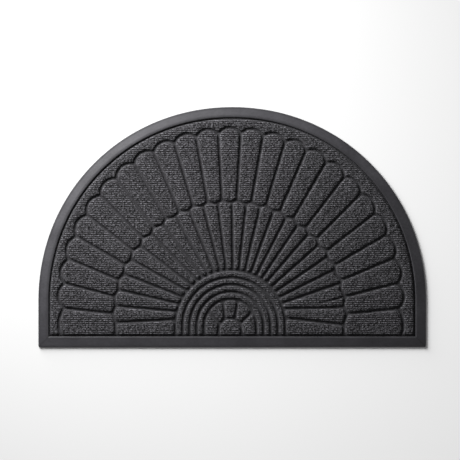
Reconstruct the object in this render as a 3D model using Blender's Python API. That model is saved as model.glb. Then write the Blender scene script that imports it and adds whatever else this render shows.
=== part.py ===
"""Half-round doormat: a rubber backing with a bevelled border, and a carpet face moulded into a fan.

Metres, +Z up. The origin is under the middle of the mat's box, the straight edge lies along X at the
lowest Y, and the round edge reaches the highest Y. The underside lies on Z = 0.
"""

import math

import bmesh
import bpy
from mathutils import Vector
from mathutils.geometry import intersect_line_line_2d

INCH = 0.0254
MERGE = 0.00001
FLAT_ANGLE = math.radians(0.05)

# Outline of the mat: a straight edge, two short straight sides and a half round with full shoulders
WIDTH = 0.985
DEPTH = 0.610
TOTAL_THICKNESS = 0.375 * INCH
ARC_RADIUS = WIDTH / 2
ARC_CENTRE = Vector((0, DEPTH / 2 - ARC_RADIUS))
STRAIGHT_Y = -DEPTH / 2
ARC_FULLNESS = 2.036
ARC_STEPS = 56
CORNER_RADIUS = 0.004

# Section of the rubber border, from its outer foot to the floor that carries the carpet
BORDER_SECTION = (
    # inset from the outline, height
    (0.0000, 0.0000),
    (0.0000, 0.0020),
    (0.0010, 0.0029),
    (0.0045, 0.0037),
    (0.0215, 0.0078),
    (0.0238, 0.0081),
    (0.0256, 0.0075),
    (0.0270, 0.0020),
)

# Levels of the carpet face: a slab with raised pads on it
FIT_GAP = 0.0003
SLAB_INSET = BORDER_SECTION[-1][0] + FIT_GAP
SLAB_BASE = BORDER_SECTION[-1][1] + FIT_GAP
GROOVE_FLOOR = 0.0060
PAD_ROOT = 0.0035
PAD_TOP = TOTAL_THICKNESS
PAD_CHAMFER = 0.0019

# Grooves between the pads, and the edge of the pattern
GROOVE_HALF_WIDTH = 0.0024
MARGIN_INSET = 0.0305
PATTERN_EDGE = MARGIN_INSET - GROOVE_HALF_WIDTH
PATTERN_BOTTOM = STRAIGHT_Y + PATTERN_EDGE
PAD_CORNER_RADIUS = 0.0065
SHARPEST_KEPT = 24
ROUND_STEPS = 2

# The petals: their middles lie at even angles about an eye, and the grooves between them run to a focus
PETALS = 25
PETAL_ANGLE = 8.52
FAN_EYE = ARC_CENTRE + Vector((-0.0064, 0.0442))
PETAL_FOCUS = Vector((-0.0064, STRAIGHT_Y + 0.0519))
SCALLOP_CENTRE = ARC_CENTRE + Vector((-0.0025, 0))
SCALLOP_RADIUS = ARC_RADIUS - 0.0525
SCALLOP_STEPS = 6
CUSP_DEPTH = 0.0150
END_CUSP_X = 0.4318

# The wavy ring groove between the petals and the rays
RING_CENTRE = Vector((-0.0062, STRAIGHT_Y + 0.0755))
RING_RADIUS = 0.2945
RING_WAVE = 0.0038
RING_FOOT_X = 0.2902

# The grooves between the rays, from right to left: stretches of the fan with their own focus and pitch
RAY_GROOVES = (
    # focus across, focus above the straight edge, angle of the first, grooves, degrees from one to the next
    (-0.0266, 0.0925, -6.60, 2, 8.20),
    (0.0038, 0.0681, 19.20, 4, 7.45),
    (0.0038, 0.0681, 49.00, 7, 6.95),
    (0.0001, 0.0777, 97.15, 5, 7.45),
    (0.0001, 0.0777, 134.40, 7, 8.10),
)
SHORTEST_EDGE = 0.0045

# The arches: raised bands about one centre, on straight legs
ARCH_CENTRE = Vector((-0.0044, STRAIGHT_Y + 0.0553))
ARCH_GROOVES = (0.1400, 0.1210, 0.1027, 0.0848, 0.0665)
ARCH_STEPS = 20

# The half flower under the arches: a hub and keystone leaves
HUB_CENTRE = Vector((-0.0053, STRAIGHT_Y + 0.0441))
HUB_GROOVE = 0.0295
HUB_STEPS = 8
LEAF_STEPS = 3
LEAF_GROOVES = (
    # angle at the arches, angle at the hub
    (0.0, 0.0),
    (32.5, 29.5),
    (73.4, 64.7),
    (106.6, 115.3),
    (147.5, 150.5),
    (180.0, 180.0),
)

RUBBER_COLOUR = (0.040, 0.041, 0.043)
CARPET_COLOUR = (0.055, 0.056, 0.062)


def polar(centre, radius, degrees):
    """The point at this radius and angle about a centre."""
    angle = math.radians(degrees)
    return centre + radius * Vector((math.cos(angle), math.sin(angle)))


def arc(centre, radius, start, end, steps):
    """Points along an arc between two angles, both ends among them."""
    return [polar(centre, radius, start + (end - start) * i / steps) for i in range(steps + 1)]


def arc_through(start, middle, end, steps):
    """Points along the arc through three points."""
    a = middle - start
    b = end - start
    cross = 2 * (a.x * b.y - a.y * b.x)
    across = a.length_squared * Vector((b.y, -b.x)) - b.length_squared * Vector((a.y, -a.x))
    centre = start + across / cross
    angles = [math.degrees(math.atan2(p.y - centre.y, p.x - centre.x)) for p in (start, middle, end)]
    first = angles[0]
    last = first + turn(angles[0], angles[1]) + turn(angles[1], angles[2])
    return arc(centre, (start - centre).length, first, last, steps)


def turn(first, second):
    """The turn from one angle to another, between -180 and 180 degrees."""
    return (second - first + 180) % 360 - 180


def where_ray_leaves(start, towards, centre, radius):
    """The point where a ray from inside a circle leaves it."""
    direction = towards.normalized()
    offset = start - centre
    along = -offset.dot(direction)
    reach = math.sqrt(along**2 - offset.length_squared + radius**2)
    return start + direction * (along + reach)


def arched(centre, radius, start, end, steps):
    """Points of an arch, with a straight leg to the pattern's bottom at 0 and at 180 degrees."""
    points = arc(centre, radius, start, end, steps)
    if start == 0:
        points.insert(0, Vector((centre.x + radius, PATTERN_BOTTOM)))
    if end == 180:
        points.append(Vector((centre.x - radius, PATTERN_BOTTOM)))
    return points


def mat_outline(inset):
    """The mat's outline moved inwards, counterclockwise from its sharp lower left corner."""
    points = [Vector((-ARC_RADIUS, STRAIGHT_Y)), Vector((ARC_RADIUS, STRAIGHT_Y))]
    for unit in arc(Vector((0, 0)), 1, 0, 180, ARC_STEPS):
        across, up = (math.copysign(abs(part) ** (2 / ARC_FULLNESS), part) for part in unit)
        points.append(ARC_CENTRE + ARC_RADIUS * Vector((across, up)))
    return moved_in(points, inset)


def edge_line(inset):
    """The mat's outline moved inwards, with its two corners rounded."""
    return rounded(mat_outline(inset), max(CORNER_RADIUS - inset, 0))


def moved_in(points, distance):
    """The closed outline with each of its edges moved inwards by a distance."""
    area = sum(p.x * q.y - q.x * p.y for p, q in zip(points, points[1:] + points[:1]))
    side = math.copysign(1, area)
    moved = []
    for before, point, after in zip(points[-1:] + points[:-1], points, points[1:] + points[:1]):
        first = (point - before).normalized().orthogonal() * side
        second = (after - point).normalized().orthogonal() * side
        moved.append(point + distance * (first + second) / (1 + first.dot(second)))
    return moved


def rounded(points, radius):
    """The closed outline with its corners rounded, where they turn by more than SHARPEST_KEPT degrees."""
    result = []
    for before, point, after in zip(points[-1:] + points[:-1], points, points[1:] + points[:1]):
        back = before - point
        ahead = after - point
        bend = math.pi - back.angle(ahead)
        if bend < math.radians(SHARPEST_KEPT):
            result.append(point)
            continue
        reach = min(radius * math.tan(bend / 2), 0.45 * back.length, 0.45 * ahead.length)
        first = point + back.normalized() * reach
        last = point + ahead.normalized() * reach
        for i in range(ROUND_STEPS + 1):
            t = i / ROUND_STEPS
            result.append(first * (1 - t) ** 2 + point * 2 * t * (1 - t) + last * t**2)
    return result


def spoke_angle(number):
    """The angle of a line of the fan: a petal's middle at a whole number, a groove at a half."""
    return 90 + PETAL_ANGLE * (number - (PETALS + 1) / 2)


def scallop_point(number):
    """Where a line of the fan meets the circle of the petals' tips."""
    towards = polar(Vector((0, 0)), 1, spoke_angle(number))
    return where_ray_leaves(FAN_EYE, towards, SCALLOP_CENTRE, SCALLOP_RADIUS)


def cusp(groove):
    """The outer end of the groove between two petals. The first and last lie on the pattern's bottom."""
    if groove in (0, PETALS):
        side = math.copysign(1, PETALS / 2 - groove)
        return Vector((SCALLOP_CENTRE.x + side * END_CUSP_X, PATTERN_BOTTOM))
    outer = scallop_point(groove + 0.5)
    return outer + (PETAL_FOCUS - outer).normalized() * CUSP_DEPTH


def ring_point(number):
    """Where a line of the fan meets the ring groove, which bends outwards at a groove of the petals."""
    if number in (0.5, PETALS + 0.5):
        side = math.copysign(1, PETALS / 2 - number)
        return Vector((RING_CENTRE.x + side * RING_FOOT_X, PATTERN_BOTTOM))
    wave = RING_WAVE if number % 1 else -RING_WAVE
    towards = scallop_point(number) - PETAL_FOCUS
    return where_ray_leaves(PETAL_FOCUS, towards, RING_CENTRE, RING_RADIUS + wave)


def ring_line():
    """The ring groove's middle line, from its right foot to its left foot."""
    return [ring_point(half / 2) for half in range(1, 2 * PETALS + 2)]


def crossing(start, towards, line):
    """Where a ray crosses a line of points, and how many of those points come before that."""
    for i, (first, second) in enumerate(zip(line, line[1:])):
        point = intersect_line_line_2d(start, start + towards, first, second)
        if point:
            return point, i + 1


def ray_grooves():
    """The grooves between the rays: outer end, number of ring points before it, and inner end."""
    line = ring_line()
    found = []
    for across, above, first, grooves, pitch in RAY_GROOVES:
        focus = Vector((across, STRAIGHT_Y + above))
        for i in range(grooves):
            towards = polar(Vector((0, 0)), 1, first + pitch * i)
            inner = where_ray_leaves(focus, towards, ARCH_CENTRE, ARCH_GROOVES[0])
            found.append((*crossing(focus, towards, line), inner))
    return found


def petal_cell(number):
    """The grooves' middle lines around a petal."""
    tip = arc_through(cusp(number - 1), scallop_point(number), cusp(number), SCALLOP_STEPS)
    inner_end = [ring_point(number + 0.5), ring_point(number), ring_point(number - 0.5)]
    return tip + inner_end


def ray_cells():
    """The grooves' middle lines around every ray. The first and last rays stand on the pattern's bottom."""
    line = ring_line()
    right_foot, left_foot = (
        Vector((ARCH_CENTRE.x + side * ARCH_GROOVES[0], PATTERN_BOTTOM)) for side in (1, -1)
    )
    grooves = [(line[0], 1, right_foot)]
    grooves += ray_grooves()
    grooves.append((line[-1], len(line) - 1, left_foot))
    cells = []
    for (outer, passed, inner), (next_outer, next_passed, next_inner) in zip(grooves, grooves[1:]):
        cell = [inner, outer]
        for point in line[passed:next_passed]:
            if min((point - outer).length, (point - next_outer).length) > SHORTEST_EDGE:
                cell.append(point)
        cells.append(cell + [next_outer, next_inner])
    return cells


def margin_cell():
    """The plain margin outside the petals: the pattern's edge, and back along the scallops."""
    left_end, *cell = mat_outline(PATTERN_EDGE)
    cell.append(left_end)
    for number in range(PETALS, 0, -1):
        scallop = arc_through(cusp(number), scallop_point(number), cusp(number - 1), SCALLOP_STEPS)
        cell += scallop if number == PETALS else scallop[1:]
    return cell


def arch_cell(outer, inner):
    """The grooves' middle lines around an arch."""
    outside = arched(ARCH_CENTRE, outer, 0, 180, ARCH_STEPS)
    inside = arched(ARCH_CENTRE, inner, 0, 180, ARCH_STEPS)
    return outside + inside[::-1]


def leaf_cell(first, last):
    """The grooves' middle lines around a leaf of the half flower."""
    outside = arched(ARCH_CENTRE, ARCH_GROOVES[-1], first[0], last[0], LEAF_STEPS)
    inside = arched(HUB_CENTRE, HUB_GROOVE, first[1], last[1], LEAF_STEPS)
    return outside + inside[::-1]


def pad_cells():
    """The middle lines of the grooves around every raised pad."""
    cells = [margin_cell()]
    cells += [petal_cell(number) for number in range(1, PETALS + 1)]
    cells += ray_cells()
    cells += [arch_cell(outer, inner) for outer, inner in zip(ARCH_GROOVES, ARCH_GROOVES[1:])]
    cells += [leaf_cell(first, last) for first, last in zip(LEAF_GROOVES, LEAF_GROOVES[1:])]
    cells.append(arched(HUB_CENTRE, HUB_GROOVE, 0, 180, HUB_STEPS))
    return cells


def clear_scene():
    for old in list(bpy.data.objects):
        bpy.data.objects.remove(old)


def make_material(name, colour, roughness):
    material = bpy.data.materials.new(name)
    material.use_nodes = True
    shader = material.node_tree.nodes["Principled BSDF"]
    shader.inputs["Base Color"].default_value = (*colour, 1)
    shader.inputs["Roughness"].default_value = roughness
    shader.inputs["Metallic"].default_value = 0
    material.diffuse_color = (*colour, 1)
    return material


def new_object(name, mesh, collection):
    obj = bpy.data.objects.new(name, mesh)
    collection.objects.link(obj)
    return obj


def plate(name, outlines, bottom, top, chamfer, collection):
    """A mesh object from flat closed outlines, extruded between two heights, with both its rims chamfered."""
    curve = bpy.data.curves.new(name, "CURVE")
    curve.dimensions = "2D"
    curve.fill_mode = "BOTH"
    curve.extrude = (top - bottom) / 2 - chamfer
    curve.bevel_depth = chamfer
    curve.bevel_resolution = 0
    for points in outlines:
        spline = curve.splines.new("POLY")
        spline.points.add(len(points) - 1)
        for control, point in zip(spline.points, points):
            control.co = (point.x, point.y, 0, 1)
        spline.use_cyclic_u = True
    source = new_object(name + "_curve", curve, collection)
    source.location.z = (top + bottom) / 2
    bpy.context.view_layer.update()
    evaluated = source.evaluated_get(bpy.context.evaluated_depsgraph_get())
    mesh = bpy.data.meshes.new_from_object(evaluated)
    weld(mesh)
    result = new_object(name, mesh, collection)
    result.matrix_world = source.matrix_world
    bpy.data.objects.remove(source)
    return result


def weld(mesh):
    """Joins points that coincide, and makes each flat face a single one."""
    bm = bmesh.new()
    bm.from_mesh(mesh)
    bmesh.ops.remove_doubles(bm, verts=bm.verts, dist=MERGE)
    bmesh.ops.dissolve_limit(bm, angle_limit=FLAT_ANGLE, verts=bm.verts, edges=bm.edges)
    bmesh.ops.recalc_face_normals(bm, faces=bm.faces)
    bm.to_mesh(mesh)
    bm.free()


def make_rubber_backing(collection):
    """The rubber tray: the border's section carried round the outline, a flat underside and a flat floor."""
    mesh = bpy.data.meshes.new("rubber_backing")
    bm = bmesh.new()
    loops = []
    for inset, height in BORDER_SECTION:
        loops.append([bm.verts.new((point.x, point.y, height)) for point in edge_line(inset)])
    for lower, upper in zip(loops, loops[1:]):
        for i in range(len(lower)):
            bm.faces.new((lower[i - 1], lower[i], upper[i], upper[i - 1]))
    bm.faces.new(loops[0][::-1])
    bm.faces.new(loops[-1])
    bm.to_mesh(mesh)
    bm.free()
    weld(mesh)
    backing = new_object("rubber_backing", mesh, collection)
    mesh.materials.append(make_material("moulded_rubber", RUBBER_COLOUR, 0.5))
    return backing


def make_carpet_face(collection, helpers):
    """The carpet: a slab that lies in the tray, with the raised pads of the fan joined to it.

    The exact solver loses the slab among this many pads, and both meshes are closed, so the union is the
    MANIFOLD one.
    """
    outlines = []
    for cell in pad_cells():
        foot = rounded(moved_in(cell, GROOVE_HALF_WIDTH), PAD_CORNER_RADIUS)
        outlines.append(moved_in(foot, PAD_CHAMFER))
    pads = plate("pads", outlines, PAD_ROOT, PAD_TOP, PAD_CHAMFER, helpers)
    pads.hide_render = True
    pads.display_type = "WIRE"
    face = plate("carpet_face", [mat_outline(SLAB_INSET)], SLAB_BASE, GROOVE_FLOOR, 0, collection)
    join = face.modifiers.new("pads", "BOOLEAN")
    join.operation = "UNION"
    join.solver = "MANIFOLD"
    join.object = pads
    face.data.materials.append(make_material("ribbed_carpet", CARPET_COLOUR, 0.95))
    return face


def main():
    clear_scene()
    doormat = bpy.data.collections.new("half_round_doormat")
    helpers = bpy.data.collections.new("helpers")
    bpy.context.scene.collection.children.link(doormat)
    bpy.context.scene.collection.children.link(helpers)
    middle = new_object("doormat_origin", None, doormat)
    for piece in (make_rubber_backing(doormat), make_carpet_face(doormat, helpers)):
        piece.parent = middle
        piece.matrix_parent_inverse = middle.matrix_world.inverted()


main()
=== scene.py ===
"""Looks of the half-round doormat: a moulded rubber backing and a ribbed carpet face with a fan relief.

Metres, +Z up. The mat lies flat on a pale floor, with its straight edge along X, seen from straight above.
"""

import math

import bmesh
import bpy
import numpy as np
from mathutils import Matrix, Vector, kdtree
from mathutils.geometry import delaunay_2d_cdt, intersect_line_line_2d


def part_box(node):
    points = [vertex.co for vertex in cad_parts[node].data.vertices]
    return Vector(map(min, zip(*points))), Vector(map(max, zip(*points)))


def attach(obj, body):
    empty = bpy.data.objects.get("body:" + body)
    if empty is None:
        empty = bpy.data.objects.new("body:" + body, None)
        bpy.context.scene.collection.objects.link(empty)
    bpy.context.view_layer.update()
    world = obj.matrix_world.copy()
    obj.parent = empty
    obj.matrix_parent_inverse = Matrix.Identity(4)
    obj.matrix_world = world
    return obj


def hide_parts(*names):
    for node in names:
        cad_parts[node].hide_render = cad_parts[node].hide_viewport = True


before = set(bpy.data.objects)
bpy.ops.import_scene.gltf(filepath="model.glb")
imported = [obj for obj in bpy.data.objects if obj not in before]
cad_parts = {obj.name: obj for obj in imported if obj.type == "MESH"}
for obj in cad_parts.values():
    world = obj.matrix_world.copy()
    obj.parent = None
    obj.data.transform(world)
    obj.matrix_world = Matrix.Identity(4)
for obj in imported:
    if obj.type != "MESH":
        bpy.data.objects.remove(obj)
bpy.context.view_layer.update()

# The mat's sizes, from the frame
BACKING_LOW, BACKING_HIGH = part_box("rubber_backing")
CARPET_LOW, CARPET_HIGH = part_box("carpet_face")
ARC_RADIUS = (BACKING_HIGH.x - BACKING_LOW.x) / 2
ARC_CENTRE = Vector((0, BACKING_HIGH.y - ARC_RADIUS))
STRAIGHT_Y = BACKING_LOW.y
SLAB_BASE = CARPET_LOW.z
PAD_TOP = CARPET_HIGH.z
SLAB_INSET = CARPET_LOW.y - BACKING_LOW.y

# The mat's outline: its arc is a little fuller than a circle, whose exponent would be 2
ARC_EXPONENT = 2.036
ARC_STEPS = 112
CORNER_RADIUS = 0.004

# Rounding of an outline's corners: the turn in degrees up to which a corner is left as it is, the points
# along a rounding, and the share of an edge that a rounding may take
SHARPEST_KEPT = 24
ROUND_STEPS = 3
LONGEST_REACH = 0.45

# Section of the rubber border: corners with the radius that rounds each of them
BORDER_CORNERS = (
    # inset from the outline, height, rounding
    (0.0000, 0.0000, 0.0000),
    (0.0000, 0.0038, 0.0011),
    (0.0045, 0.0043, 0.0030),
    (0.0200, 0.0076, 0.0500),
    (0.0246, 0.0080, 0.0040),
    (0.0263, 0.0073, 0.0008),
    (0.0270, 0.0020, 0.0000),
)
BORDER_ROUND_STEPS = 4
BORDER_SHARP_TURN = 17
MERGE_DISTANCE = 0.00001

# The grooves of the carpet, and the even margin from the mat's edge to the pattern
GROOVE_HALF_WIDTH = 0.0028
MARGIN_INSET = 0.0305
PATTERN_EDGE = MARGIN_INSET - GROOVE_HALF_WIDTH
PATTERN_BOTTOM = STRAIGHT_Y + PATTERN_EDGE

# The pads between the grooves: their walls from the grooves' floor up, then the swell of their tops
PAD_CORNER_RADIUS = 0.0090
PAD_WALL = (
    # distance in from the pad's foot, height under the pad's top
    (-0.0012, 0.0056),
    (0.0002, 0.0044),
    (0.0012, 0.0020),
    (0.0025, 0.0007),
)
GROOVE_DEPTH = PAD_WALL[0][1]
GROOVE_FLOOR = PAD_TOP - GROOVE_DEPTH
CROWN_REACH = 0.0035

# The mesh of the pads: the step along their edges, the least distance from there to the points inside, and
# the share of its distance from a loop under which a point counts as folded over
LOOP_STEP = 0.0026
LEAST_CLEARANCE = 0.6 * LOOP_STEP
FOLD_SHARE = 0.97
FILL_TOLERANCE = 1e-7

# Random unevenness: the side of the table that it comes from, and how it moves the pads' edges
SEED = 7
NOISE_TABLE = 256
WOBBLE = 0.0006
WOBBLE_SIZE = (0.0060, 0.0045)

# The petals: their middles are spread at even angles from an eye, and the grooves between them run to a focus
PETALS = 25
PETAL_ANGLE = 8.52
FAN_EYE = ARC_CENTRE + Vector((-0.0064, 0.0442))
PETAL_FOCUS = Vector((-0.0064, STRAIGHT_Y + 0.0519))
SCALLOP_CENTRE = ARC_CENTRE + Vector((-0.0025, 0))
SCALLOP_RADIUS = ARC_RADIUS - 0.0525
SCALLOP_STEPS = 6
CUSP_DEPTH = 0.0150
END_CUSP_X = 0.4318

# The wavy ring groove between the petals and the rays
RING_CENTRE = Vector((-0.0062, STRAIGHT_Y + 0.0755))
RING_RADIUS = 0.2945
RING_WAVE = 0.0038
RING_FOOT_X = 0.2902

# The grooves between the rays, from right to left: stretches of the fan with their own focus and pitch
RAY_GROOVES = (
    # focus across, focus above the straight edge, angle of the first, grooves, degrees from one to the next
    (-0.0266, 0.0925, -6.60, 2, 8.20),
    (0.0038, 0.0681, 19.20, 4, 7.45),
    (0.0038, 0.0681, 49.00, 7, 6.95),
    (0.0001, 0.0777, 97.15, 5, 7.45),
    (0.0001, 0.0777, 134.40, 7, 8.10),
)

# A point of the ring nearer than this to a ray's outer corners is left out of the ray
SHORTEST_EDGE = 0.0045

# The arches: raised bands about one centre, on straight legs
ARCH_CENTRE = Vector((-0.0044, STRAIGHT_Y + 0.0553))
ARCH_GROOVES = (0.1400, 0.1210, 0.1027, 0.0848, 0.0665)
ARCH_STEPS = 40

# The half flower under the arches: a hub and keystone leaves
HUB_CENTRE = Vector((-0.0053, STRAIGHT_Y + 0.0441))
HUB_GROOVE = 0.0295
HUB_STEPS = 8
LEAF_STEPS = 3
LEAF_GROOVES = (
    # angle at the arches, angle at the hub
    (0.0, 0.0),
    (32.5, 29.5),
    (73.4, 64.7),
    (106.6, 115.3),
    (147.5, 150.5),
    (180.0, 180.0),
)

# The crease in the lowest wide ray on the right. It starts a share of its length before its outer end and
# gets shallower towards its inner end, with its taper as the exponent
CREASE_OUTER_END = (0.2781, -0.1788)
CREASE_INNER_END = (0.2131, -0.1979)
CREASE_HALF_WIDTH = 0.0036
CREASE_DEPTH = 0.0050
CREASE_TAPER = 0.7
CREASE_OVERRUN = 0.1

# The ribs of the carpet, which run along X, and the lumps along them, which are shifted from rib to rib and
# lose a share of their height in the valleys
RIB_PITCH = 0.0054
RIB_DEPTH = 0.0011
ROW_STEP = RIB_PITCH / 3
COLUMN_STEP = RIB_PITCH / 2
LUMP_LENGTH = 0.0052
LUMP_SHIFT = 0.618
LUMP_HEIGHT = 0.0009
LUMP_LOSS = 0.5

# Looks of the rubber. Each pair of shades is what a pattern or a level multiplies the colour by
RUBBER_COLOUR = (0.0275, 0.0267, 0.0305, 1)
RUBBER_ROUGHNESS = (0.42, 0.52)
RUBBER_SPECULAR = 0.42
MOTTLE_SCALE = 18
MOTTLE_SHADES = (0.88, 1.12)
STREAK_SCALE = 130
STREAK_STRETCH = (1, 1.6, 1)
STREAK_RANGE = (0.3, 0.75)
STREAK_SHADES = (0.82, 1.25)
RUBBER_GRAIN_SCALE = 900
RUBBER_GRAIN_DEPTH = 0.00012
RUBBER_GRAIN_STRENGTH = 0.6
# Painted shade by height: the border's flat crest is darker, as the light falls on it
CREST_LEVELS = (0.0071, 0.0080)
CREST_PAINTED_SHADES = (1.0, 0.72)
# Painted shade by height: the border's flat outer lip is darker and the bevel above it a little lighter, as
# the light falls on them
LIP_LEVELS = (0.0042, 0.0048)
LIP_PAINTED_SHADES = (0.85, 1.05)

# Painted shade along the mitre creases in the border's two corners, which fades out above the carpet's
# straight edge
MITRE_WIDTHS = (0.0009, 0.0018)
MITRE_PAINTED_SHADES = (0.6, 1.0)
MITRE_TOP = (STRAIGHT_Y + SLAB_INSET, STRAIGHT_Y + 1.2 * SLAB_INSET)

# Looks of the carpet: flecked fibres on the pads, with painted shade in the ribs' valleys and painted light
# on their crests; pressed and plainer fibres in the grooves, darker towards their floor with painted shade
CARPET_COLOUR = (0.0290, 0.0284, 0.0310, 1)
CARPET_ROUGHNESS = 0.95
CARPET_SPECULAR = 0.2
FLECK_SCALE = 240
FLECK_STRETCH = (1, 2.0, 1)
FLECK_RANGE = (0.40, 0.70)
FLECK_SHADES = (0.05, 3.4)
# Painted shade in the ribs' valleys and painted light on their crests, at the ribs' pitch
RIB_PAINTED_SHADES = (0.15, 1.6)
PATCH_SCALE = 30
PATCH_SHADES = (0.9, 1.1)
FIBRE_SCALE = 1100
FIBRE_STRETCH = (1, 2.5, 1)
FIBRE_SHADES = (0.6, 1.4)
FIBRE_DEPTH = 0.0006
FIBRE_STRENGTH = 0.8
PILE_LEVELS = (PAD_TOP - 0.0035, PAD_TOP - 0.0015)
PILE_SHARES = (0.25, 1.0)
# The pressed fibres in the grooves are plain and lighter; towards the grooves' floor they are darker, which
# is painted shade
PRESSED_LEVELS = (PAD_TOP - 0.0054, PAD_TOP - 0.0036)
PRESSED_TONE_AND_PAINTED_SHADE = (0.85, 1.2)

# The values between which most of a noise lies
NOISE_RANGE = (0.3, 0.7)

# Photo's framing: the metres that a pixel covers on the mat, and the pixel where the mat's middle lies
FRAME_PIXELS = 460
METRES_PER_PIXEL = 0.002541
MAT_MIDDLE_PIXEL = (231.65, 226.53)
LENS = 200
SENSOR = 36

# The light stands low at the upper left, so that the relief throws the shadows seen in the photo. Angles in
# degrees, power in watts
KEY_AZIMUTH = 131
KEY_ELEVATION = 20
KEY_DISTANCE = 2.1
KEY_SIZE = 1.3
KEY_POWER = 204
WORLD_STRENGTH = 0.20

# The backdrop is darker near the light and paler away from it, so that it looks even
FLOOR_SIZE = 12
FLOOR_ROUGHNESS = 0.9
FLOOR_SLOPE = (0.80, -0.90, 0.0)
FLOOR_SHADES = (0.30, 0.96)

# Far from the mat the backdrop glows, as a lit studio wall does
GLOW_REACH = (1.0, 3.0)
GLOW = 0.55


def polar(centre, radius, degrees):
    """The point at this radius and angle about a centre."""
    angle = math.radians(degrees)
    return centre + radius * Vector((math.cos(angle), math.sin(angle)))


def arc(centre, radius, start, end, steps):
    """Points along an arc between two angles, both ends among them."""
    return [polar(centre, radius, start + (end - start) * i / steps) for i in range(steps + 1)]


def turn(first, second):
    """The turn from one angle to another, between -180 and 180 degrees."""
    return (second - first + 180) % 360 - 180


def arc_through(start, middle, end, steps):
    """Points along the arc through three points."""
    a = middle - start
    b = end - start
    cross = 2 * (a.x * b.y - a.y * b.x)
    across = a.length_squared * Vector((b.y, -b.x)) - b.length_squared * Vector((a.y, -a.x))
    centre = start + across / cross
    angles = [math.degrees(math.atan2(p.y - centre.y, p.x - centre.x)) for p in (start, middle, end)]
    first = angles[0]
    last = first + turn(angles[0], angles[1]) + turn(angles[1], angles[2])
    return arc(centre, (start - centre).length, first, last, steps)


def where_ray_leaves(start, towards, centre, radius):
    """The point where a ray from inside a circle leaves it."""
    direction = towards.normalized()
    offset = start - centre
    along = -offset.dot(direction)
    reach = math.sqrt(along**2 - offset.length_squared + radius**2)
    return start + direction * (along + reach)


def arched(centre, radius, start, end, steps):
    """Points of an arch between two angles, with a leg to the pattern's bottom at 0 and at 180 degrees."""
    points = arc(centre, radius, start, end, steps)
    if start == 0:
        points.insert(0, Vector((centre.x + radius, PATTERN_BOTTOM)))
    if end == 180:
        points.append(Vector((centre.x - radius, PATTERN_BOTTOM)))
    return points


def mat_outline(inset):
    """Points of the mat's outline moved inwards, counterclockwise from the lower left, its corners sharp."""
    points = [Vector((-ARC_RADIUS, STRAIGHT_Y)), Vector((ARC_RADIUS, STRAIGHT_Y))]
    for unit in arc(Vector((0, 0)), 1, 0, 180, ARC_STEPS):
        across, up = (math.copysign(abs(part) ** (2 / ARC_EXPONENT), part) for part in unit)
        points.append(ARC_CENTRE + ARC_RADIUS * Vector((across, up)))
    return moved_in(points, inset)


def neighbours(points):
    """Each point of a closed outline, with the points before and after it."""
    return zip(points[-1:] + points[:-1], points, points[1:] + points[:1])


def signed_area(points):
    """The area in a closed outline, negative where the outline runs clockwise."""
    return sum(p.x * q.y - q.x * p.y for p, q in zip(points, points[1:] + points[:1])) / 2


def moved_in(points, distance):
    """The closed outline with each of its edges moved inwards by a distance."""
    side = math.copysign(1, signed_area(points))
    moved = []
    for before, point, after in neighbours(points):
        first = (point - before).normalized().orthogonal() * side
        second = (after - point).normalized().orthogonal() * side
        moved.append(point + distance * (first + second) / (1 + first.dot(second)))
    return moved


def bend(before, point, after):
    """The angle by which a line turns at a point."""
    return math.pi - (before - point).angle(after - point)


def rounded_corner(before, point, after, radius, steps):
    """Points that round a corner."""
    back = before - point
    ahead = after - point
    reach = radius * math.tan(bend(before, point, after) / 2)
    reach = min(reach, LONGEST_REACH * back.length, LONGEST_REACH * ahead.length)
    first = point + back.normalized() * reach
    last = point + ahead.normalized() * reach
    shares = [i / steps for i in range(steps + 1)]
    return [first * (1 - t) ** 2 + point * 2 * t * (1 - t) + last * t**2 for t in shares]


def rounded(points, radius):
    """The closed outline with its corners rounded, where they turn by more than SHARPEST_KEPT degrees."""
    result = []
    for corner in neighbours(points):
        if bend(*corner) < math.radians(SHARPEST_KEPT):
            result.append(corner[1])
        else:
            result += rounded_corner(*corner, radius, ROUND_STEPS)
    return result


def spoke_angle(number):
    """The angle of a line of the fan: whole numbers are petals' middles, halves the grooves between them."""
    return 90 + PETAL_ANGLE * (number - (PETALS + 1) / 2)


def scallop_point(number):
    """Where a line of the fan meets the circle of the petals' tips."""
    towards = polar(Vector((0, 0)), 1, spoke_angle(number))
    return where_ray_leaves(FAN_EYE, towards, SCALLOP_CENTRE, SCALLOP_RADIUS)


def cusp(groove):
    """The outer end of the groove between two petals. The first and last lie on the pattern's bottom."""
    if groove in (0, PETALS):
        side = math.copysign(1, PETALS / 2 - groove)
        return Vector((SCALLOP_CENTRE.x + side * END_CUSP_X, PATTERN_BOTTOM))
    outer = scallop_point(groove + 0.5)
    return outer + (PETAL_FOCUS - outer).normalized() * CUSP_DEPTH


def ring_point(number):
    """Where a line of the fan meets the ring: further out at a groove, further in at a petal's middle."""
    if number in (0.5, PETALS + 0.5):
        side = math.copysign(1, PETALS / 2 - number)
        return Vector((RING_CENTRE.x + side * RING_FOOT_X, PATTERN_BOTTOM))
    wave = RING_WAVE if number % 1 else -RING_WAVE
    towards = scallop_point(number) - PETAL_FOCUS
    return where_ray_leaves(PETAL_FOCUS, towards, RING_CENTRE, RING_RADIUS + wave)


def ring_line():
    """The ring groove's middle line, from its right foot to its left foot."""
    return [ring_point(half / 2) for half in range(1, 2 * PETALS + 2)]


def crossing(start, towards, line):
    """Where a ray crosses a line of points, and how many of those points come before that."""
    for i, (first, second) in enumerate(zip(line, line[1:])):
        point = intersect_line_line_2d(start, start + towards, first, second)
        if point:
            return point, i + 1


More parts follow.
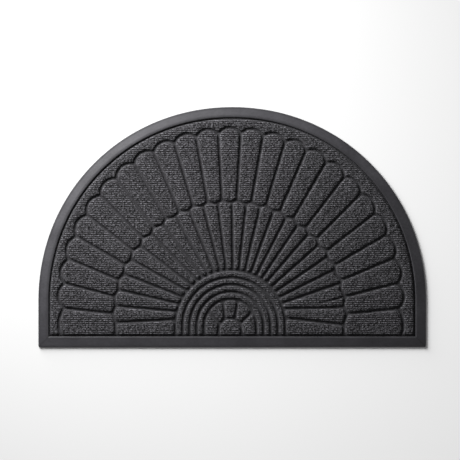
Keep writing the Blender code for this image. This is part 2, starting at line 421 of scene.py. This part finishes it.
def ray_grooves():
    """The grooves between the rays: outer end, number of ring points before it, and inner end."""
    line = ring_line()
    found = []
    for across, above, first, grooves, pitch in RAY_GROOVES:
        focus = Vector((across, STRAIGHT_Y + above))
        for i in range(grooves):
            towards = polar(Vector((0, 0)), 1, first + pitch * i)
            inner = where_ray_leaves(focus, towards, ARCH_CENTRE, ARCH_GROOVES[0])
            found.append((*crossing(focus, towards, line), inner))
    return found


def petal_cell(number):
    """The grooves' middle lines around a petal."""
    tip = arc_through(cusp(number - 1), scallop_point(number), cusp(number), SCALLOP_STEPS)
    inner_end = [ring_point(number + 0.5), ring_point(number), ring_point(number - 0.5)]
    return tip + inner_end


def ray_cells():
    """The grooves' middle lines around every ray. The first and last rays stand on the pattern's bottom."""
    line = ring_line()
    right_foot, left_foot = (
        Vector((ARCH_CENTRE.x + side * ARCH_GROOVES[0], PATTERN_BOTTOM)) for side in (1, -1)
    )
    grooves = [(line[0], 1, right_foot)]
    grooves += ray_grooves()
    grooves.append((line[-1], len(line) - 1, left_foot))
    cells = []
    for (outer, passed, inner), (next_outer, next_passed, next_inner) in zip(grooves, grooves[1:]):
        cell = [inner, outer]
        for point in line[passed:next_passed]:
            if min((point - outer).length, (point - next_outer).length) > SHORTEST_EDGE:
                cell.append(point)
        cells.append(cell + [next_outer, next_inner])
    return cells


def margin_cell():
    """The plain margin outside the petals: the pattern's edge, and back along the scallops."""
    left_end, *cell = mat_outline(PATTERN_EDGE)
    cell.append(left_end)
    for number in range(PETALS, 0, -1):
        scallop = arc_through(cusp(number), scallop_point(number), cusp(number - 1), SCALLOP_STEPS)
        cell += scallop if number == PETALS else scallop[1:]
    return cell


def arch_cell(outer, inner):
    """The grooves' middle lines around an arch."""
    outside = arched(ARCH_CENTRE, outer, 0, 180, ARCH_STEPS)
    inside = arched(ARCH_CENTRE, inner, 0, 180, ARCH_STEPS)
    return outside + inside[::-1]


def leaf_cell(first, last):
    """The grooves' middle lines around a leaf of the half flower."""
    outside = arched(ARCH_CENTRE, ARCH_GROOVES[-1], first[0], last[0], LEAF_STEPS)
    inside = arched(HUB_CENTRE, HUB_GROOVE, first[1], last[1], LEAF_STEPS)
    return outside + inside[::-1]


def pad_cells():
    """The middle lines of the grooves around every raised pad."""
    cells = [margin_cell()]
    cells += [petal_cell(number) for number in range(1, PETALS + 1)]
    cells += ray_cells()
    cells += [arch_cell(outer, inner) for outer, inner in zip(ARCH_GROOVES, ARCH_GROOVES[1:])]
    cells += [leaf_cell(first, last) for first, last in zip(LEAF_GROOVES, LEAF_GROOVES[1:])]
    cells.append(arched(HUB_CENTRE, HUB_GROOVE, 0, 180, HUB_STEPS))
    return cells


def spaced(points, step):
    """An array of evenly spaced points along a closed outline."""
    loop = np.array([tuple(point) for point in points + points[:1]])
    along = np.concatenate(([0], np.cumsum(np.hypot(*np.diff(loop, axis=0).T))))
    count = round(along[-1] / step)
    at = np.arange(count) * along[-1] / count
    return np.column_stack([np.interp(at, along, loop[:, axis]) for axis in (0, 1)])


def gap(points, loop):
    """The distance of each point from a closed loop."""
    along = np.roll(loop, -1, axis=0) - loop
    lengths = (along**2).sum(axis=1)
    nearest = []
    for point in points:
        away = point - loop
        share = np.clip((away * along).sum(axis=1) / lengths, 0, 1)
        nearest.append(((away - share[:, None] * along) ** 2).sum(axis=1).min())
    return np.sqrt(nearest)


def beside(loop, distance):
    """The closed loop moved inwards, point for point, with even points where a corner would fold over."""
    ahead = np.roll(loop, -1, axis=0) - np.roll(loop, 1, axis=0)
    ahead /= np.hypot(*ahead.T)[:, None]
    following = np.roll(loop, -1, axis=0)
    area = (loop[:, 0] * following[:, 1] - following[:, 0] * loop[:, 1]).sum()
    moved = loop + distance * np.sign(area) * np.column_stack((-ahead[:, 1], ahead[:, 0]))
    number = np.arange(len(loop))
    kept = gap(moved, loop) > FOLD_SHARE * abs(distance)
    columns = [np.interp(number, number[kept], moved[kept, axis], period=len(loop)) for axis in (0, 1)]
    return np.column_stack(columns)


def noise_field(x, y, size, seed):
    """Smooth random values from -1 to 1 over the plane. Size is the distance between values, in x and y."""
    u = x / size[0]
    v = y / size[1]
    column = np.floor(u).astype(int)
    row = np.floor(v).astype(int)
    table = np.random.default_rng(seed).uniform(-1, 1, (NOISE_TABLE, NOISE_TABLE))
    blend_u = (u - column) ** 2 * (3 - 2 * (u - column))
    blend_v = (v - row) ** 2 * (3 - 2 * (v - row))

    def value(column_step, row_step):
        return table[(column + column_step) % NOISE_TABLE, (row + row_step) % NOISE_TABLE]

    low = value(0, 0) * (1 - blend_u) + value(1, 0) * blend_u
    high = value(0, 1) * (1 - blend_u) + value(1, 1) * blend_u
    return low * (1 - blend_v) + high * blend_v


def wobbled(points):
    """The points moved a little, each by its place, as the fibres leave the edges of the pads uneven."""
    x, y = points.T
    moves = [noise_field(x, y, WOBBLE_SIZE, SEED + offset) for offset in (1, 2)]
    return points + WOBBLE * np.column_stack(moves)


def row_points(row, ends):
    """The points of one of the ribs' rows, between the ends of each stretch of it."""
    shift = row % 2 / 2
    for left, right in zip(ends[::2], ends[1::2]):
        first = math.ceil(left / COLUMN_STEP - shift)
        last = math.floor(right / COLUMN_STEP - shift)
        for column in range(first, last + 1):
            yield (column + shift) * COLUMN_STEP, row * ROW_STEP


def rib_points(loop):
    """Points along the ribs' rows inside a closed loop, each with its distance from the loop."""
    tree = kdtree.KDTree(len(loop))
    for i, point in enumerate(loop):
        tree.insert((*point, 0), i)
    tree.balance()
    following = np.roll(loop, -1, axis=0)
    found = []
    first_row = math.ceil(loop[:, 1].min() / ROW_STEP)
    last_row = math.floor(loop[:, 1].max() / ROW_STEP)
    for row in range(first_row, last_row + 1):
        y = row * ROW_STEP
        crossed = (loop[:, 1] > y) != (following[:, 1] > y)
        a = loop[crossed]
        b = following[crossed]
        ends = np.sort(a[:, 0] + (y - a[:, 1]) * (b[:, 0] - a[:, 0]) / (b[:, 1] - a[:, 1]))
        for point in row_points(row, ends):
            distance = tree.find((*point, 0))[2]
            if distance > LEAST_CLEARANCE:
                found.append((*point, distance))
    return np.array(found).reshape(-1, 3)


def filled(points, loops):
    """Triangles of point numbers that fill the last of some closed loops, but for the others inside it."""
    vectors = [Vector(point) for point in points]
    rims = [[int(i) for i in loop] for loop in loops]
    _, _, faces, origins, _, areas = delaunay_2d_cdt(vectors, [], rims, 0, FILL_TOLERANCE, True)
    wanted = [len(loops) - 1]
    return [[origins[i][0] for i in face] for face, area in zip(faces, areas) if area == wanted]


def crease_depth(x, y):
    """How far the crease goes down at each point: a notch in one ray that ends before the inner end."""
    start = np.array(CREASE_OUTER_END)
    along = np.array(CREASE_INNER_END) - start
    length = np.hypot(*along)
    away_x = x - start[0]
    away_y = y - start[1]
    share = (away_x * along[0] + away_y * along[1]) / length**2
    aside = np.abs(away_x * along[1] - away_y * along[0]) / length
    slope = np.clip(1 - aside / CREASE_HALF_WIDTH, 0, 1)
    taper = np.clip(1 - share, 0, 1) ** CREASE_TAPER * (share > -CREASE_OVERRUN)
    return CREASE_DEPTH * taper * slope


def surface_height(x, y, under_top, rib_share):
    """The height of the carpet's upper side, with its ribs, the lumps along them and the crease."""
    rib = np.round(y / RIB_PITCH)
    valley = (1 - np.cos(2 * math.pi * y / RIB_PITCH)) / 2
    lump = noise_field(x / LUMP_LENGTH + rib * LUMP_SHIFT, rib, (1, 1), SEED)
    rise = PAD_TOP - under_top - rib_share * RIB_DEPTH * valley
    rise = rise + rib_share * LUMP_HEIGHT * (lump - 1) * (1 - LUMP_LOSS * valley)
    return np.maximum(rise - crease_depth(x, y), GROOVE_FLOOR)


class Points:
    """The carpet's points, which are added in groups with their heights."""

    def __init__(self):
        self.flat = []
        self.heights = []
        self.count = 0

    def add(self, flat, heights):
        """Adds a group and returns the numbers of its points."""
        self.flat.append(flat)
        self.heights.append(heights)
        numbers = np.arange(self.count, self.count + len(flat))
        self.count += len(flat)
        return numbers


def band(lower, upper):
    """Triangles between two closed rings of point numbers."""
    corners = zip(lower, np.roll(lower, -1), np.roll(upper, -1), upper)
    return [face for a, b, c, d in corners for face in ((a, b, c), (a, c, d))]


def add_pad(points, cell):
    """Adds a pad's wall and top. Gives the point numbers of its lowest ring, and the pad's triangles."""
    foot = spaced(rounded(moved_in(cell, GROOVE_HALF_WIDTH), PAD_CORNER_RADIUS), LOOP_STEP)
    rings = []
    for distance, under_top in PAD_WALL:
        ring = wobbled(beside(foot, distance))
        height = surface_height(*ring.T, under_top, 1 - under_top / GROOVE_DEPTH)
        rings.append(points.add(ring, height))
    triangles = []
    for lower, upper in zip(rings, rings[1:]):
        triangles += band(lower, upper)
    *inside, distance = rib_points(ring).T
    crown = PAD_WALL[-1][1] * np.exp(-distance / CROWN_REACH)
    inner = points.add(np.column_stack(inside), surface_height(*inside, crown, 1))
    numbers = np.concatenate((rings[-1], inner))
    top = np.concatenate((ring, np.column_stack(inside)))
    triangles += [tuple(numbers[i] for i in face) for face in filled(top, [range(len(ring))])]
    return rings[0], triangles


def groove_floor(flat, rims):
    """Triangles of the grooves' floor: inside the last of the rims, and outside the others."""
    numbers = np.concatenate(rims)
    local = {number: i for i, number in enumerate(numbers)}
    loops = [[local[number] for number in rim] for rim in rims]
    return [tuple(numbers[i] for i in face) for face in filled(flat[numbers], loops)]


def make_carpet():
    """The carpet face: one closed sheet with ribs, raised pads with rounded shoulders, and grooves."""
    points = Points()
    rims = []
    triangles = []
    for cell in pad_cells():
        rim, pad = add_pad(points, cell)
        rims.append(rim)
        triangles += pad
    edge = spaced(mat_outline(SLAB_INSET), LOOP_STEP)
    rims.append(points.add(edge, np.full(len(edge), GROOVE_FLOOR)))
    base = points.add(edge, np.full(len(edge), SLAB_BASE))
    flat = np.concatenate(points.flat)
    triangles += groove_floor(flat, rims)
    triangles += band(base, rims[-1])
    vertices = np.column_stack((flat, np.concatenate(points.heights)))
    faces = [tuple(int(i) for i in face) for face in triangles + [base[::-1]]]
    mesh = bpy.data.meshes.new("carpet")
    mesh.from_pydata(vertices.tolist(), [], faces)
    bm = bmesh.new()
    bm.from_mesh(mesh)
    bmesh.ops.recalc_face_normals(bm, faces=bm.faces)
    bm.to_mesh(mesh)
    bm.free()
    mesh.shade_smooth()
    return link("carpet", mesh)


def link(name, data):
    """A new object with this data, in the scene."""
    obj = bpy.data.objects.new(name, data)
    bpy.context.scene.collection.objects.link(obj)
    return obj


def border_section():
    """The border's section as (inset, height) pairs, with its corners rounded."""
    corners = [Vector(row[:2]) for row in BORDER_CORNERS]
    section = []
    for i, (_, _, radius) in enumerate(BORDER_CORNERS):
        if radius:
            section += rounded_corner(*corners[i - 1 : i + 2], radius, BORDER_ROUND_STEPS)
        else:
            section.append(corners[i])
    return section


def make_backing():
    """The rubber tray: the border's section carried round the outline, with a flat floor and underside."""
    bm = bmesh.new()
    loops = []
    for inset, height in border_section():
        outline = rounded(mat_outline(inset), max(CORNER_RADIUS - inset, 0))
        loops.append([bm.verts.new((point.x, point.y, height)) for point in outline])
    for lower, upper in zip(loops, loops[1:]):
        for i in range(len(lower)):
            bm.faces.new((lower[i - 1], lower[i], upper[i], upper[i - 1]))
    bm.faces.new(loops[0][::-1])
    bm.faces.new(loops[-1])
    bmesh.ops.remove_doubles(bm, verts=bm.verts, dist=MERGE_DISTANCE)
    bmesh.ops.recalc_face_normals(bm, faces=bm.faces)
    mesh = bpy.data.meshes.new("backing")
    bm.to_mesh(mesh)
    bm.free()
    mesh.shade_smooth()
    mesh.set_sharp_from_angle(angle=math.radians(BORDER_SHARP_TURN))
    return link("backing", mesh)


class Nodes:
    """A material's nodes, added by short calls that take values or other nodes' sockets."""

    def __init__(self, name):
        self.material = bpy.data.materials.new(name)
        self.material.use_nodes = True
        self.tree = self.material.node_tree
        self.shader = self.tree.nodes["Principled BSDF"]

    def add(self, kind, sockets=None, **settings):
        """A new node with these settings, and with values or links for its input sockets."""
        node = self.tree.nodes.new(kind)
        for key, value in settings.items():
            setattr(node, key, value)
        for key, value in (sockets or {}).items():
            self.set(node, key, value)
        return node

    def set(self, node, key, value):
        """Gives a node's input a value, or a link from another node's socket."""
        if isinstance(value, bpy.types.NodeSocket):
            self.tree.links.new(value, node.inputs[key])
        else:
            node.inputs[key].default_value = value

    def finish(self, **inputs):
        """Sets the shader's inputs, named with underscores for spaces, and returns the material."""
        for name, value in inputs.items():
            self.set(self.shader, name.replace("_", " "), value)
        return self.material

    def position(self, scale=(1, 1, 1)):
        where = self.add("ShaderNodeTexCoord").outputs["Object"]
        return self.add("ShaderNodeVectorMath", {0: where, 1: scale}, operation="MULTIPLY").outputs[0]

    def noise(self, vector, scale, detail, roughness=0.5):
        sockets = {"Vector": vector, "Scale": scale, "Detail": detail, "Roughness": roughness}
        return self.add("ShaderNodeTexNoise", sockets).outputs["Fac"]

    def ranged(self, value, source, target):
        """The value moved from one range to another, and kept within it."""
        sockets = {0: value, 1: source[0], 2: source[1], 3: target[0], 4: target[1]}
        return self.add("ShaderNodeMapRange", sockets).outputs[0]

    def maths(self, operation, *values):
        return self.add("ShaderNodeMath", dict(enumerate(values)), operation=operation).outputs[0]

    def product(self, first, *others):
        for factor in others:
            first = self.maths("MULTIPLY", first, factor)
        return first

    def tinted(self, colour, shade):
        """The colour times a shade."""
        sockets = {0: 1.0, 6: colour, 7: shade}
        return self.add("ShaderNodeMix", sockets, data_type="RGBA", blend_type="MULTIPLY").outputs[2]

    def bump(self, height, distance, strength):
        sockets = {"Height": height, "Distance": distance, "Strength": strength}
        return self.add("ShaderNodeBump", sockets).outputs[0]


def painted_mitre_shade(nodes, parts):
    """Painted shade along the mitre creases that run at 45 degrees from the outline's lower corners."""
    diagonal = nodes.maths("ADD", nodes.maths("ABSOLUTE", parts["X"]), parts["Y"])
    away = nodes.maths("ABSOLUTE", nodes.maths("SUBTRACT", diagonal, ARC_RADIUS + STRAIGHT_Y))
    beside_crease = nodes.ranged(away, MITRE_WIDTHS, (0.0, 1.0))
    above_crease = nodes.ranged(parts["Y"], MITRE_TOP, (0.0, 1.0))
    return nodes.ranged(nodes.maths("MAXIMUM", beside_crease, above_crease), (0.0, 1.0), MITRE_PAINTED_SHADES)


def rubber_material():
    nodes = Nodes("moulded_rubber")
    where = nodes.position()
    parts = nodes.add("ShaderNodeSeparateXYZ", {0: where}).outputs
    mottle = nodes.noise(where, MOTTLE_SCALE, detail=3)
    streaks = nodes.noise(nodes.position(STREAK_STRETCH), STREAK_SCALE, detail=4, roughness=0.65)
    grain = nodes.noise(where, RUBBER_GRAIN_SCALE, detail=2)
    shade = nodes.product(
        nodes.ranged(mottle, NOISE_RANGE, MOTTLE_SHADES),
        nodes.ranged(streaks, STREAK_RANGE, STREAK_SHADES),
        # painted shade along the mitre creases
        painted_mitre_shade(nodes, parts),
        # painted shade of the border's crest and lip, by height
        nodes.ranged(parts["Z"], CREST_LEVELS, CREST_PAINTED_SHADES),
        nodes.ranged(parts["Z"], LIP_LEVELS, LIP_PAINTED_SHADES),
    )
    return nodes.finish(
        Base_Color=nodes.tinted(RUBBER_COLOUR, shade),
        Roughness=nodes.ranged(mottle, NOISE_RANGE, RUBBER_ROUGHNESS),
        Specular_IOR_Level=RUBBER_SPECULAR,
        Normal=nodes.bump(grain, RUBBER_GRAIN_DEPTH, RUBBER_GRAIN_STRENGTH),
    )


def carpet_material():
    nodes = Nodes("ribbed_carpet")
    where = nodes.position()
    parts = nodes.add("ShaderNodeSeparateXYZ", {0: where}).outputs
    fleck = nodes.noise(nodes.position(FLECK_STRETCH), FLECK_SCALE, detail=1, roughness=0.6)
    patch = nodes.noise(where, PATCH_SCALE, detail=2)
    fibre = nodes.noise(nodes.position(FIBRE_STRETCH), FIBRE_SCALE, detail=2, roughness=0.6)
    # painted shade in the rib valleys and painted light on the rib crests
    rib_phase = nodes.maths("MULTIPLY", parts["Y"], 2 * math.pi / RIB_PITCH)
    painted_rib_shade_and_light = nodes.ranged(nodes.maths("COSINE", rib_phase), (-1.0, 1.0), RIB_PAINTED_SHADES)
    pad_flecks_and_painted_rib_light = nodes.product(nodes.ranged(fleck, FLECK_RANGE, FLECK_SHADES), painted_rib_shade_and_light)
    # the pressed fibres' lighter tone, and painted shade towards the grooves' floor
    pressed_tone_and_shade = nodes.ranged(parts["Z"], PRESSED_LEVELS, PRESSED_TONE_AND_PAINTED_SHADE)
    pile = nodes.ranged(parts["Z"], PILE_LEVELS, PILE_SHARES)
    shade = nodes.product(
        nodes.add("ShaderNodeMix", {0: pile, 2: pressed_tone_and_shade, 3: pad_flecks_and_painted_rib_light}).outputs[0],
        nodes.ranged(patch, NOISE_RANGE, PATCH_SHADES),
        nodes.ranged(fibre, NOISE_RANGE, FIBRE_SHADES),
    )
    return nodes.finish(
        Base_Color=nodes.tinted(CARPET_COLOUR, shade),
        Roughness=CARPET_ROUGHNESS,
        Specular_IOR_Level=CARPET_SPECULAR,
        Normal=nodes.bump(fibre, FIBRE_DEPTH, FIBRE_STRENGTH),
    )


def make_floor():
    bpy.ops.mesh.primitive_plane_add(size=FLOOR_SIZE)
    floor = bpy.context.object
    floor.name = "floor"
    nodes = Nodes("graduated_backdrop")
    where = nodes.position()
    towards = nodes.add("ShaderNodeVectorMath", {0: where, 1: FLOOR_SLOPE}, operation="DOT_PRODUCT")
    away = nodes.add("ShaderNodeVectorMath", {0: where}, operation="LENGTH")
    material = nodes.finish(
        Base_Color=nodes.ranged(towards.outputs["Value"], (-1.0, 1.0), FLOOR_SHADES),
        Roughness=FLOOR_ROUGHNESS,
        Emission_Color=(1, 1, 1, 1),
        Emission_Strength=nodes.ranged(away.outputs["Value"], GLOW_REACH, (0.0, GLOW)),
    )
    floor.data.materials.append(material)


def make_key_light():
    """A square soft light that shines at the mat's middle."""
    data = bpy.data.lights.new("key", "AREA")
    data.size = KEY_SIZE
    data.energy = KEY_POWER
    light = link("key", data)
    elevation = math.radians(KEY_ELEVATION)
    flat = polar(Vector((0, 0)), KEY_DISTANCE * math.cos(elevation), KEY_AZIMUTH)
    light.location = (flat.x, flat.y, KEY_DISTANCE * math.sin(elevation))
    light.rotation_mode = "QUATERNION"
    light.rotation_quaternion = (-light.location).to_track_quat("-Z", "Y")
    light.visible_camera = False


def make_world():
    """An even white light from all around."""
    world = bpy.data.worlds.new("studio")
    world.use_nodes = True
    background = world.node_tree.nodes["Background"]
    background.inputs["Color"].default_value = (1, 1, 1, 1)
    background.inputs["Strength"].default_value = WORLD_STRENGTH
    bpy.context.scene.world = world


def make_camera():
    """A camera straight above the mat, which frames it as the photo does."""
    data = bpy.data.cameras.new("camera")
    data.lens = LENS
    data.sensor_width = SENSOR
    camera = link("camera", data)
    middle = (FRAME_PIXELS - 1) / 2
    x = (middle - MAT_MIDDLE_PIXEL[0]) * METRES_PER_PIXEL
    y = (MAT_MIDDLE_PIXEL[1] - middle) * METRES_PER_PIXEL
    camera.location = (x, y, PAD_TOP / 2 + FRAME_PIXELS * METRES_PER_PIXEL * LENS / SENSOR)
    bpy.context.scene.camera = camera


def main():
    make_camera()
    carpet = make_carpet()
    carpet.data.materials.append(carpet_material())
    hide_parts("carpet_face")
    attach(carpet, "root")
    area = signed_area(mat_outline(SLAB_INSET))
    backing = make_backing()
    backing.data.materials.append(rubber_material())
    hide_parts("rubber_backing")
    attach(backing, "root")
    make_floor()
    make_key_light()
    make_world()
    bpy.context.scene.view_settings.view_transform = "Standard"


main()
